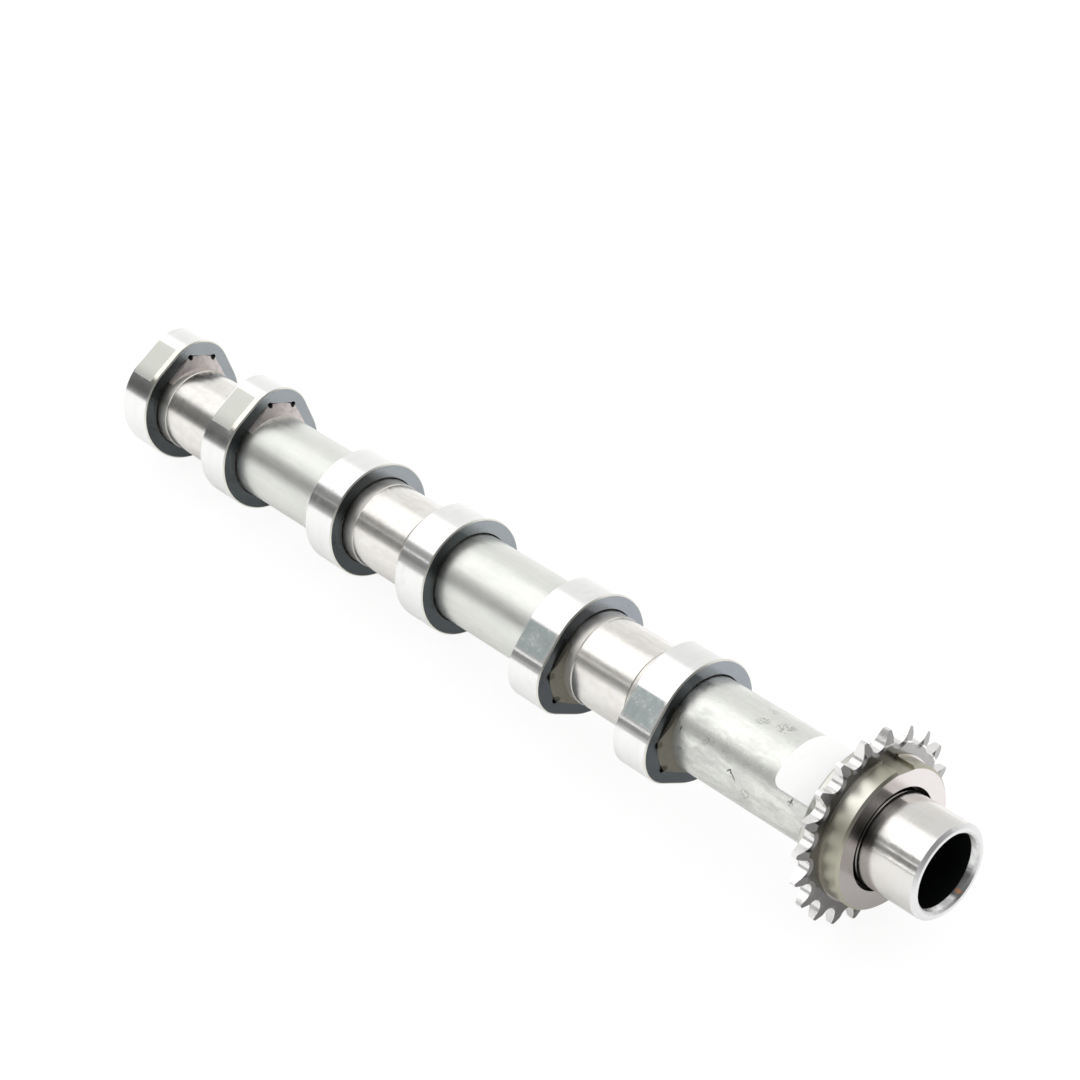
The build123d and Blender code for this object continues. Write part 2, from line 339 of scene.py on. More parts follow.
@shared_effect("Band", {"Value": 0.0, "Low": 0.0, "High": 1.0, "Fade": 0.1}, MASK)
def band_between(g, value, low, high, fade):
    """1 where the value lies between low and high, fading over the given width at both ends."""
    up = smooth_range(g, value, calc(g, "SUBTRACT", low, fade), calc(g, "ADD", low, fade))
    down = smooth_range(g, value, calc(g, "SUBTRACT", high, fade), calc(g, "ADD", high, fade), 1.0, 0.0)
    return [times(g, up, down)]


@shared_effect("Tool Lines", {"Millimetres": ZERO, "Stretch": (1.0, 1.0, 1.0), "Detail": 4.0,
                              "Contrast": 1.0, "Bend": 0.0}, VALUE)
def tool_lines(g, mm, stretch, detail, contrast, bend):
    """Lines of drawing or grinding: noise stretched by a vector, its place pushed by a slow noise."""
    push = vector(g, "SCALE", noise_at(g, mm, 0.22, 2.0)[1], bend)
    stretched = vector(g, "MULTIPLY", vector(g, "ADD", mm, push), stretch)
    centred = calc(g, "SUBTRACT", noise_at(g, stretched, 1.0, detail, 0.6)[0], 0.5)
    return [calc(g, "MULTIPLY_ADD", centred, contrast, 0.5, clamp=True)]


@shared_effect("Blotches", {"Millimetres": ZERO, "Size": 8.0, "Contrast": 2.0}, VALUE)
def blotches(g, mm, size, contrast):
    """Soft uneven patches: noise whose place is pushed by a second noise, by as much as its size."""
    scale = calc(g, "DIVIDE", 1.0, size)
    moved = vector(g, "ADD", mm, vector(g, "SCALE", noise_at(g, mm, scale, 1.0)[1], size))
    centred = calc(g, "SUBTRACT", noise_at(g, moved, scale, 5.0, 0.62)[0], 0.5)
    return [calc(g, "MULTIPLY_ADD", centred, contrast, 0.5, clamp=True)]


@shared_effect("Specks", {"Millimetres": ZERO, "Spacing": 1.0, "Size": 0.15, "Amount": 0.5}, MASK)
def specks(g, mm, spacing, size, amount):
    """Small pits: the nearness to scattered points, kept for the given amount of the points."""
    cells = put(g, "ShaderNodeTexVoronoi", {"Vector": mm, "Scale": calc(g, "DIVIDE", 1.0, spacing),
                                            "Randomness": 1.0})
    dot = smooth_range(g, cells.outputs["Distance"], times(g, size, 0.5), size, 1.0, 0.0)
    lot = put(g, "ShaderNodeSeparateColor", {0: cells.outputs["Color"]}).outputs[0]
    return [times(g, dot, calc(g, "LESS_THAN", lot, amount))]


@shared_effect("Scratches", {"Millimetres": ZERO, "Turn": ZERO, "Stretch": (0.04, 0.5, 0.5),
                             "Width": 0.01}, MASK)
def scratches(g, mm, turn, stretch, width):
    """Thin scratches: where a stretched, turned noise passes through one half, kept in some areas."""
    turned = put(g, "ShaderNodeMapping", {"Vector": mm, "Rotation": turn, "Scale": stretch}).outputs[0]
    line = smooth_range(g, away(g, noise_at(g, turned, 1.0, 2.0)[0], 0.5), 0.0, width, 1.0, 0.0)
    return [times(g, line, smooth_range(g, noise_at(g, mm, 0.11, 2.0)[0], 0.5, 0.58))]


@shared_effect("Crackle", {"Millimetres": ZERO, "Size": 1.0}, MASK)
def crackle(g, mm, size):
    """Fine closed wandering lines: where an even noise passes through one half."""
    ridge_highlight = away(g, noise_at(g, mm, calc(g, "DIVIDE", 1.0, size), 3.0, 0.6)[0], 0.5)
    return [smooth_range(g, ridge_highlight, 0.008, 0.035, 1.0, 0.0)]


@shared_effect("Bevel Lean", {"Amount": 0.0}, {"Normal": "Vector"})
def bevel_lean(g, amount):
    """Normal leant towards the nose: the surface normal plus the amount times +X, made one long."""
    push = put(g, "ShaderNodeCombineXYZ", {0: amount}).outputs[0]
    leant = vector(g, "ADD", g.nodes.new("ShaderNodeNewGeometry").outputs["Normal"], push)
    return [put(g, "ShaderNodeVectorMath", {0: leant}, operation="NORMALIZE").outputs[0]]


@shared_effect("Nick", {"Station": 0.0, "Angle": 0.0, "Millimetres": ZERO, "At Station": 0.0,
                        "At Angle": 0.0, "Length": 2.0, "Width": 1.0, "Lean": 0.0, "Ragged": 0.5}, MASK)
def nick(g, station, angle, mm, at_station, at_angle, length, width, lean, ragged):
    """One small ragged mark: an ellipse in millimetres along and round the tube, turned by the lean,
    its edge pushed by noise."""
    along = calc(g, "SUBTRACT", station, at_station)
    around = times(g, calc(g, "SUBTRACT", angle, at_angle), math.radians(1.0) * TUBE_R)
    c, s = calc(g, "COSINE", lean), calc(g, "SINE", lean)
    u = calc(g, "ADD", times(g, along, c), times(g, around, s))
    v = calc(g, "SUBTRACT", times(g, around, c), times(g, along, s))
    reach = length_of(g, calc(g, "DIVIDE", u, length), calc(g, "DIVIDE", v, width))
    centred = calc(g, "SUBTRACT", noise_at(g, mm, 1.7, 4.0, 0.7)[0], 0.5)
    reach = calc(g, "ADD", reach, times(g, centred, times(g, ragged, 4.0)))
    return [smooth_range(g, reach, 0.75, 1.05, 1.0, 0.0)]


# --- materials -------------------------------------------------------------------------
def new_material(name):
    """A material, its node tree and its shader."""
    material = bpy.data.materials.new(name)
    material.use_nodes = True
    tree = material.node_tree
    return material, tree, tree.nodes["Principled BSDF"]


def finish_shader(tree, shader, base, roughness, height, depth, metallic=1.0, normal=None):
    """Joins colour, roughness and a bump height to the shader; depth is in millimetres."""
    tree.links.new(base, shader.inputs["Base Color"])
    tree.links.new(roughness, shader.inputs["Roughness"])
    shader.inputs["Metallic"].default_value = metallic
    bump = put(tree, "ShaderNodeBump", {"Strength": 1.0, "Distance": depth * 0.001, "Height": height})
    if normal is not None:
        tree.links.new(normal, bump.inputs["Normal"])
    tree.links.new(bump.outputs[0], shader.inputs["Normal"])


def pocket_holes(t, station, along, across):
    """The corner holes of every pocket, larger on the front pair."""
    size = smooth_range(t, station, *FRONT_PAIR_TO_REST, 1.25, 0.9)
    return effect(t, "Corner Hole", Along=along, Across=across, Size=size)


def tube_zones(t):
    """Places on the tube, and masks that are 1 inside each of its zones."""
    z = SimpleNamespace()
    z.mm, z.station, z.radius, z.angle, z.side = use(t, "Shaft Place")
    # Station inside one repeat of the lobe pairs, from the front lobe's face; ten repeats keep it positive.
    z.local = calc(t, "MODULO", calc(t, "ADD", z.station, 10 * PITCH - FIRST_LOBE), PITCH)
    journal = band(t, z.local, JOURNAL_START + 0.2, JOURNAL_END - 0.2, 0.25)
    z.nose = band(t, z.station, -5.0, NOSE_LENGTH + 0.2, 0.2)
    z.ground = calc(t, "MAXIMUM", journal, z.nose)
    z.bore = times(t, smooth_range(t, z.radius, BORE_R + 0.05, BORE_R + 0.15, 1.0, 0.0),
                   smooth_range(t, z.station, *MOUTH_TO_BORE))
    z.mouth = times(t, smooth_range(t, z.radius, BORE_R + 0.6, BORE_R + 0.5),
                    smooth_range(t, z.station, *reversed(MOUTH_TO_BORE)))
    z.dull = band(t, z.angle, -160.0, -118.0, 6.0)
    z.rim = times(t, smooth_range(t, z.station, 1.1, 0.95), smooth_range(t, z.side, 0.2, 0.4))
    z.with_lobes = smooth_range(t, z.station, *DRIVE_TO_LOBES)
    z.calm = smooth_range(t, z.station, *STREAKED_TO_CALM, 1.0, 0.15)
    z.inside_pair = band(t, z.local, LOBE_WIDTH, PAIR_STEP, 0.3)

    # A seat is the swollen tube inside a lobe and its sloping flare outside.
    along, across = use(t, "Lobe Place", Station=z.station, Radius=z.radius, Angle=z.angle)[2:4]
    z.hole = pocket_holes(t, z.station, along, across)
    off_journal = outside(t, band(t, z.local, JOURNAL_START - 0.5, JOURNAL_END + 0.5, 0.1))
    sloping = times(t, smooth_range(t, z.side, 0.03, 0.08), off_journal)
    swollen = smooth_range(t, z.radius, TUBE_R + 0.005, TUBE_R + 0.06)
    z.seat = times(t, calc(t, "MAXIMUM", swollen, sloping), z.with_lobes)
    return z


def tube_patterns(t, mm):
    """The tube's noises: lines along and round it, clouds, specks and scratches."""
    return SimpleNamespace(
        drawn_lines=lines(t, mm, (0.05, 0.9, 0.9), 5.0, 1.6),
        round_lines=lines(t, mm, (2.4, 0.03, 0.03), 5.0, 1.8),
        wide_rings=lines(t, mm, (0.32, 0.01, 0.01), 3.0, 2.2),
        streaks=lines(t, mm, (0.10, 0.48, 0.48), 3.0, 4.0, bend=4.0),
        clouds=patches(t, mm, 7.0, 2.6),
        small=patches(t, mm, 1.6, 2.4),
        specks=effect(t, "Specks", Millimetres=mm, Spacing=1.7, Size=0.10, Amount=0.12),
        crackle=effect(t, "Crackle", Millimetres=mm, Size=1.1),
        scratches=effect(t, "Scratches", Millimetres=mm, Turn=(0.3, 0.5, 0.2),
                         Stretch=(0.05, 0.45, 0.45), Width=0.006),
        cross=effect(t, "Scratches", Millimetres=mm, Turn=(1.1, 0.2, 0.9),
                     Stretch=(0.5, 0.06, 0.5), Width=0.004))


def drawn_steel(t, finish, z, p):
    """Drawn steel: greenish grey, cloudy, with long wavy streaks; warmer on the lands inside a pair."""
    steel = paint(t, finish.drawn, p.clouds, (0.66, 0.68, 0.65), 0.50)
    steel = paint(t, steel, p.small, (0.86, 0.86, 0.80), 0.25)
    steel = paint(t, steel, outside(t, p.drawn_lines), (0.56, 0.56, 0.53), 0.30)
    low_side = band(t, z.angle, 48.0, 150.0, 8.0)
    streaked = times(t, z.calm, scaled(t, low_side, 0.40, 0.20))
    steel = paint(t, steel, p.streaks, (0.50, 0.50, 0.48), streaked)
    steel = paint(t, steel, p.specks, (0.12, 0.12, 0.11), times(t, z.calm, 0.5))
    steel = paint(t, steel, p.scratches, (0.82, 0.82, 0.80), 0.5)
    steel = paint(t, steel, p.cross, (0.30, 0.30, 0.29), times(t, z.calm, 0.40))
    return paint(t, steel, z.inside_pair, (0.74, 0.71, 0.67), 0.85)


def ground_steel(t, finish, z, p):
    """Ground steel: bright, ringed by the wheel and slightly browned where bearings ran."""
    steel = paint(t, finish.journal, z.nose, finish.nose)
    steel = paint(t, steel, p.wide_rings, (0.68, 0.63, 0.57), 0.35)
    steel = paint(t, steel, p.clouds, (0.84, 0.80, 0.72), scaled(t, z.nose, -0.28, 0.30))
    steel = paint(t, steel, p.streaks, (0.56, 0.52, 0.47), scaled(t, z.nose, -0.18, 0.30))
    steel = paint(t, steel, p.round_lines, (0.88, 0.87, 0.85), 0.18)
    return paint(t, steel, p.scratches, (0.45, 0.44, 0.42), 0.25)


def seat_steel(t, z, p):
    """Seats: brown and oily at the front, pinkish and clean at the rear, mottled."""
    pale_zone = smooth_range(t, z.station, *OILY_TO_CLEAN_SEATS)
    steel = paint(t, BROWN_GRIME_AND_SHADE, pale_zone, (0.72, 0.66, 0.64))
    mottle = times(t, smooth_range(t, p.small, 0.45, 0.8),
                   smooth_range(t, z.station, *OILY_TO_CLEAN_SEATS, 0.5, 0.2))
    return paint(t, steel, mottle, (0.14, 0.13, 0.11))


def add_shade_and_lines(t, base, z):
    """Painted dark reflections in front of each lobe and on the nose beside the collar, painted shade in
    the ring round the collar's bore, and thin darker lines at the journals' ends."""
    # Painted dark reflection of the lobe faces on the left side of the tube, just in front of each lobe.
    ahead_reflection = calc(t, "MAXIMUM", smooth_range(t, z.local, PITCH - 3.2, PITCH - 0.2),
                 band(t, z.local, PAIR_STEP - 1.6, PAIR_STEP + 1.0, 1.2))
    ahead_reflection = times(t, ahead_reflection, band(t, z.angle, 35.0, 120.0, 14.0), z.with_lobes)
    base = paint(t, base, ahead_reflection, BROWN_GRIME_AND_SHADE, 0.55)
    # Painted shade in the collar's ring: start and colour of two layers, the darker one deeper.
    for start, tint, share in ((0.2, (0.04, 0.036, 0.03), 0.92), (-0.15, (0.16, 0.15, 0.14), 0.75)):
        ring = band(t, z.station, NOSE_LENGTH + start, NOSE_LENGTH + 4.0, 0.12)
        base = paint(t, base, ring, tint, share)
    # Painted dark reflection of the collar on the nose beside it.
    collar_reflection = times(t, band(t, z.station, 13.8, 22.0, 3.2), band(t, z.angle, 44.0, 68.0, 12.0))
    base = paint(t, base, collar_reflection, (0.05, 0.045, 0.03), 0.82)
    for edge in (JOURNAL_START + 0.1, JOURNAL_END - 0.1):
        line = times(t, band(t, z.local, edge - 0.30, edge + 0.20, 0.12), z.with_lobes)
        base = paint(t, base, line, (0.38, 0.36, 0.33), 0.65)
    return base


# Marks on the tube as (station, angle, half length, half width, lean, raggedness).
STROKES = [(61.6, 80.0, 1.9, 0.24, 2.38, 0.16), (63.1, 76.7, 0.95, 0.24, 0.74, 0.10),
           (62.4, 77.0, 0.75, 0.24, 1.7, 0.10), (41.6, 68.5, 0.9, 0.35, 1.3, 0.5),
           (81.8, 64.2, 0.7, 0.25, 1.5, 0.5)]
CRACKLED = [(72.3, 62.0, 1.5, 1.2, 0.3, 0.3), (57.0, 94.0, 2.2, 1.6, 0.8, 0.3),
            (62.5, 8.1, 2.0, 1.3, 0.6, 0.3), (63.7, -14.0, 1.8, 1.2, 0.2, 0.3),
            (56.0, 0.0, 3.0, 2.4, 0.4, 0.3), (41.8, 72.0, 1.2, 1.2, 0.0, 0.4)]


def add_marks(t, base, z, p):
    """Dark strokes, then paler crackled patches."""
    for share, tint, marks in ((1.0, 0.06, STROKES), (p.crackle, 0.16, CRACKLED)):
        for at_station, at_angle, length, width, lean, ragged in marks:
            mark = effect(t, "Nick", Station=z.station, Angle=z.angle, Millimetres=z.mm,
                          At_Station=at_station, At_Angle=at_angle, Length=length, Width=width,
                          Lean=lean, Ragged=ragged)
            base = paint(t, base, mark, (tint, tint, tint), times(t, share, 0.8))
    return base


def mouth_bevel(t, z, p):
    """The bevel in the mouth: bright, with a painted darker reflection on a stretch at the lower right and a
    rust spot beside it.
    """
    steel = paint(t, (0.82, 0.83, 0.82), p.small, (0.60, 0.61, 0.60))
    # Painted darker reflection on a stretch at the lower right.
    steel = paint(t, steel, z.dull, (0.40, 0.40, 0.40))
    spot = effect(t, "Nick", Station=z.station, Angle=z.angle, Millimetres=z.mm,
                  At_Station=1.3, At_Angle=-148.0, Length=1.0, Width=0.9, Ragged=0.25)
    return paint(t, steel, spot, RUST)


def tube_roughness(t, finish, z, p):
    """Smoother where ground; cloudy on drawn steel at the front and even behind; dull in bore and seats."""
    polish = blend(t, z.nose, finish.journal_roughness - 0.05, finish.nose_roughness - 0.05)
    greasy = smooth_range(t, z.station, 7.0, 16.0, 0.0, times(t, z.nose, 0.08))
    wheel = calc(t, "ADD", scaled(t, p.round_lines, 0.10, polish), greasy)
    cloudy = calc(t, "ADD", times(t, p.small, 0.14), times(t, p.streaks, 0.14))
    cloudy = blend(t, scaled(t, z.calm, 0.7, 0.25), 0.15, cloudy)
    rough = blend(t, z.ground, calc(t, "ADD", cloudy, finish.drawn_roughness - 0.12), wheel)
    rough = blend(t, z.mouth, rough, scaled(t, p.small, 0.15, 0.25))
    dull_zones = calc(t, "MAXIMUM", calc(t, "MAXIMUM", z.bore, z.seat), z.rim)
    return blend(t, dull_zones, rough, 0.5)


def tube_height(t, z, p):
    """Bump of the drawing lines and of the wheel, faint towards the rear."""
    drawn = scaled(t, p.drawn_lines, 0.5, times(t, p.small, 0.5))
    ground = scaled(t, p.streaks, 0.50, times(t, p.round_lines, 0.12))
    return times(t, blend(t, z.ground, drawn, ground), scaled(t, z.calm, 0.9, 0.1))


def tube_steel(finish):
    """Tube: ground nose and journals, drawn steel between them, oily bore, painted shade and dark
    reflections near the lobes and the collar, corner holes painted black as shade, a few nicks.
    """
    material, t, shader = new_material("tube drawn and ground")
    z = tube_zones(t)
    p = tube_patterns(t, z.mm)
    base = paint(t, drawn_steel(t, finish, z, p), z.ground, ground_steel(t, finish, z, p))
    base = paint(t, base, z.seat, seat_steel(t, z, p))
    # The corner holes on the seats are painted black as their shade.
    base = paint(t, base, z.hole, HOLE_SHADE_BLACK, z.seat)
    base = add_marks(t, add_shade_and_lines(t, base, z), z, p)
    base = paint(t, base, z.bore, finish.bore)
    base = paint(t, base, z.rim, (0.84, 0.84, 0.85), 0.8)
    base = paint(t, base, z.mouth, mouth_bevel(t, z, p))
    lean = effect(t, "Bevel Lean", Amount=times(t, z.mouth, scaled(t, z.dull, -0.35, 0.55)))
    finish_shader(t, shader, base, tube_roughness(t, finish, z, p), tube_height(t, z, p), 0.02, normal=lean)
    return material


def lobe_zones(t):
    """Places on the lobes, and masks that are 1 inside each of their zones."""
    z = SimpleNamespace()
    z.mm, z.station, z.radius, z.angle, side = use(t, "Shaft Place")
    inset, from_nose, along, across = use(t, "Lobe Place", Station=z.station, Radius=z.radius, Angle=z.angle)
    z.rear = smooth_range(t, z.station, *FRONT_PAIR_TO_REST)
    z.film = effect(t, "Painted Low Left Shade", Angle=z.angle)
    z.face = smooth_range(t, side, 0.85, 0.95)
    z.bevel = times(t, smooth_range(t, side, 0.3, 0.5), outside(t, z.face))
    pocket = times(t, smooth_range(t, z.radius, 16.9, 17.2, 1.0, 0.0), outside(t, z.face))
    z.hole = calc(t, "MAXIMUM", pocket, pocket_holes(t, z.station, along, across))
    # Matt strips where the followers bear hardest: an even one on the closing flank with a pale
    # lip in front of it, and a speckled one on the opening flank.
    z.even = times(t, band(t, from_nose, *CLOSING_STRIP, 0.5),
                   band(t, inset, CLOSING_START, STRIP_END, 0.12))
    z.lip = times(t, band(t, from_nose, CLOSING_STRIP[0] - 0.5, CLOSING_STRIP[1] + 0.5, 1.0),
                  smooth_range(t, inset, CLOSING_START + 0.1, CLOSING_START - 0.2))
    z.spotted = times(t, band(t, from_nose, *OPENING_STRIP, 0.5),
                      band(t, inset, OPENING_START, STRIP_END, 0.12))
    return z


def lobe_patterns(t, mm):
    """The lobes' noises: wheel rings, clouds, grain, specks and flecks."""
    return SimpleNamespace(
        rings=lines(t, mm, (3.2, 0.05, 0.05), 5.0, 1.6),
        wide=lines(t, mm, (0.5, 0.06, 0.06), 3.0, 2.4),
        clouds=patches(t, mm, 6.0, 2.4),
        fine=patches(t, mm, 0.9, 2.6),
        specks=effect(t, "Specks", Millimetres=mm, Spacing=0.9, Size=0.22, Amount=0.30),
        flecks=effect(t, "Specks", Millimetres=mm, Spacing=0.8, Size=0.34, Amount=0.55))


def speckled_strip(t, z, p):
    """The strip on the opening flank: pale flecks, or dark and bluish with glints on the front pair."""
    pale = paint(t, (0.60, 0.62, 0.60), p.flecks, (0.92, 0.92, 0.90), 0.8)
    sparse = calc(t, "MAXIMUM", p.flecks, smooth_range(t, p.clouds, 0.5, 0.8))
    glints = times(t, smooth_range(t, p.fine, 0.55, 0.80), sparse)
    bluish = paint(t, (0.34, 0.39, 0.385), p.clouds, (0.50, 0.55, 0.545))
    bluish = paint(t, bluish, glints, (0.92, 0.95, 0.92), 0.6)
    return paint(t, bluish, z.rear, pale)


def cam_track(t, finish, z, p, worn):
    """The running surface: bright, ringed by the wheel, with worn patches and the matt strips."""
    steel = paint(t, finish.track, p.wide, (0.66, 0.67, 0.66), 0.22)
    steel = paint(t, steel, p.rings, (0.92, 0.92, 0.90), 0.15)
    steel = paint(t, steel, worn, (0.50, 0.52, 0.51), 0.22)
    steel = paint(t, steel, z.lip, (0.84, 0.83, 0.74))
    even = paint(t, (0.62, 0.63, 0.58), p.fine, (0.72, 0.73, 0.68), 0.25)
    steel = paint(t, steel, z.even, even)
    return paint(t, steel, z.spotted, speckled_strip(t, z, p))


def hardened_face(t, finish, z, p):
    """The side faces: dark blue-grey and faintly grained, with painted shade making them nearly black on the
    lower left.
    """
    steel = paint(t, finish.face, z.rear, (0.31, 0.34, 0.345), 0.6)
    steel = paint(t, steel, p.clouds, (0.26, 0.28, 0.30), 0.25)
    steel = paint(t, steel, p.fine, (0.45, 0.46, 0.48), 0.08)
    steel = paint(t, steel, p.specks, (0.10, 0.10, 0.11), 0.15)
    # Painted shade on the lower left of the side faces.
    return paint(t, steel, z.film, (0.012, 0.018, 0.020), 0.72)


def lobe_steel(finish):
    """Lobe: bright ground track with wheel rings and wear, dark blue-grey side faces with painted shade on
    the lower left, light bevels, pockets and corner holes painted black as their shade.
    """
    material, t, shader = new_material("lobe ground and hardened")
    z = lobe_zones(t)
    p = lobe_patterns(t, z.mm)
    speckle = calc(t, "MAXIMUM", times(t, p.fine, 0.7), p.specks)
    worn = times(t, smooth_range(t, p.clouds, 0.62, 0.85), speckle)
    base = paint(t, cam_track(t, finish, z, p, worn), z.face, hardened_face(t, finish, z, p))
    base = paint(t, base, z.bevel, (0.78, 0.77, 0.70))
    # Pockets and corner holes are painted nearly black as their shade.
    base = paint(t, base, z.hole, (0.012, 0.012, 0.014))

    rough = blend(t, z.face, scaled(t, p.rings, 0.10, finish.track_roughness - 0.05),
                  scaled(t, p.fine, 0.06, finish.face_roughness - 0.02))
    rough = scaled(t, worn, 0.15, rough)
    rough = blend(t, calc(t, "MAXIMUM", z.even, z.spotted), rough, 0.42)
    rough = blend(t, z.bevel, rough, 0.40)
    height = blend(t, z.face, times(t, p.rings, 0.15), times(t, p.fine, 0.06))
    finish_shader(t, shader, base, rough, height, 0.012)
    return material


def sprocket_steel(finish):
    """Sprocket: dark brownish sides and bevels with painted shade on the lower left, gaps polished by the
    chain, a painted highlight on a ridge below the teeth, grey boss.
    """
    material, t, shader = new_material("sprocket sintered steel")
    mm, station, radius, angle, side = use(t, "Shaft Place")
    film = effect(t, "Painted Low Left Shade", Angle=angle, Turn=75.0, Low=0.1, High=0.8)
    face = smooth_range(t, side, 0.80, 0.92)
    around = smooth_range(t, side, 0.10, 0.30, 1.0, 0.0)
    gap = times(t, around, band(t, station, TEETH_FRONT, TEETH_REAR, 0.05))
    bevel = times(t, outside(t, face), outside(t, around))
    grain = patches(t, mm, 0.7, 2.6)
    cloud = patches(t, mm, 5.0, 2.2)
    rings = lines(t, mm, (3.0, 0.05, 0.05), 4.0, 1.6)

    dark = paint(t, finish.disc, cloud, (0.48, 0.46, 0.45), 0.25)
    dark = paint(t, dark, grain, (0.72, 0.71, 0.70), 0.15)
    # The sides are darkened throughout, and further on the lower left by painted shade.
    dark = paint(t, dark, scaled(t, film, 0.34, 0.38), (0.02, 0.018, 0.017))
    bright = paint(t, finish.gap, grain, (0.62, 0.60, 0.58), 0.25)
    boss = paint(t, (0.60, 0.60, 0.55), cloud, (0.44, 0.44, 0.40), 0.5)
    # The bevels get painted shade on the lower left too.
    slope = paint(t, (0.56, 0.555, 0.55), scaled(t, film, 0.33, 0.22), (0.05, 0.048, 0.045))
    base = paint(t, boss, gap, bright)
    base = paint(t, base, face, dark)
    base = paint(t, base, bevel, slope)
    # A painted highlight of a ridge runs round below the teeth, left out where the painted shade lies.
    ridge_highlight = times(t, band(t, radius, *RIDGE_HIGHLIGHT_R, 0.15), outside(t, film))
    base = paint(t, base, ridge_highlight, (0.93, 0.93, 0.92), smooth_range(t, side, 0.3, 0.5))
    rough = blend(t, gap, scaled(t, grain, 0.12, 0.14), scaled(t, rings, 0.10, 0.18))
    finish_shader(t, shader, base, rough, grain, 0.006)
    return material


def collar_steel(finish):
    """Collar: ground face with faint turning rings and painted shade on its lower left, a rim with a painted
    highlight on its upper left, a relief painted nearly black as its shade.
    """
    material, t, shader = new_material("collar ground steel")
    mm, station, radius, angle, side = use(t, "Shaft Place")
    film = effect(t, "Painted Low Left Shade", Angle=angle)
    face = smooth_range(t, side, 0.80, 0.92)
    turning = noise_at(t, put(t, "ShaderNodeCombineXYZ", {0: radius}).outputs[0], 2.2, 5.0)[0]
    rings = lines(t, vector(t, "MULTIPLY", mm, (1.0, 0.02, 0.02)), (2.2, 1.0, 1.0), 4.0, 1.8)
    cloud = patches(t, mm, 6.0, 2.2)
    grain = patches(t, mm, 0.8, 2.4)

    front = paint(t, finish.collar, turning, (0.66, 0.61, 0.60), 0.25)
    # Painted shade on the lower left of the face.
    front = paint(t, front, film, (0.05, 0.04, 0.03), 0.50)
    # The rim has a painted highlight on the upper left and is darker greenish grey elsewhere.
    pale_zone = band(t, angle, 20.0, 44.0, 12.0)
    rim = paint(t, (0.42, 0.41, 0.33), pale_zone, (0.94, 0.93, 0.84))
    rim = paint(t, rim, rings, (0.46, 0.44, 0.36), 0.30)
    rim = paint(t, rim, cloud, (0.30, 0.29, 0.22), 0.25)
    base = paint(t, rim, face, front)
    # The relief's walls are painted nearly black as their shade.
    relief = times(t, smooth_range(t, radius, COLLAR_RELIEF_R + 0.05, COLLAR_RELIEF_R - 0.05),
                   smooth_range(t, station, NOSE_LENGTH + 0.05, NOSE_LENGTH + 0.15))
    base = paint(t, base, relief, (0.03, 0.028, 0.025))
    rough = blend(t, face, scaled(t, rings, 0.08, 0.33), scaled(t, cloud, 0.06, 0.20))
    finish_shader(t, shader, base, rough, grain, 0.001)
    return material


def label_paper(finish):
    """Bare label: white coated paper with a little soiling and slight creases."""
    material, t, shader = new_material("label bare paper")
    mm = use(t, "Shaft Place")[0]
    cloud = patches(t, mm, 5.0, 2.0)
    fibre = patches(t, mm, 0.5, 2.0)
    base = paint(t, finish.paper, smooth_range(t, cloud, 0.5, 1.0), (0.84, 0.84, 0.82), 0.25)
    base = paint(t, base, fibre, (0.75, 0.75, 0.73), 0.06)
    height = scaled(t, cloud, 0.7, times(t, fibre, 0.3))
    finish_shader(t, shader, base, scaled(t, fibre, 0.15, 0.40), height, 0.05, metallic=0.0)
    return material


def dress(node, material):
    """Gives a CAD node its finish through its object's slots."""
    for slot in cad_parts[node].material_slots:
        slot.link = "OBJECT"
        slot.material = material


# --- table and studio ------------------------------------------------------------------
def table_top():
    """Round table: polar grid of radius by angle, its height a straight line in x through the two rests."""
    slope = (REST_REAR[1] - REST_FRONT[1]) / (REST_REAR[0] - REST_FRONT[0])
    radii = np.linspace(0.0, 1.0, 25)[1:] ** 1.3 * TABLE_RADIUS
    angles = np.linspace(0.0, 2.0 * np.pi, 96, endpoint=False)
    r, a = np.meshgrid(radii, angles, indexing="ij")
    x = np.append(TABLE_MIDDLE, TABLE_MIDDLE + r * np.cos(a))
    y = np.append(0.0, r * np.sin(a))
    z = REST_FRONT[1] + (x - REST_FRONT[0]) * slope
    rows, cols = r.shape
    i, j = np.meshgrid(np.arange(rows - 1), np.arange(cols), indexing="ij")
    inner, outer, after = 1 + i * cols, 1 + (i + 1) * cols, (j + 1) % cols
    quads = np.stack([inner + j, outer + j, outer + after, inner + after], -1).reshape(-1, 4)
    first = np.arange(cols)
    fan = np.stack([np.zeros(cols, int), 1 + first, 1 + (first + 1) % cols], -1)
    mesh = bpy.data.meshes.new("table")
    mesh.from_pydata(np.stack([x, y, z], -1).tolist(), [], fan.tolist() + quads.tolist())
    mesh.update()
    return mesh


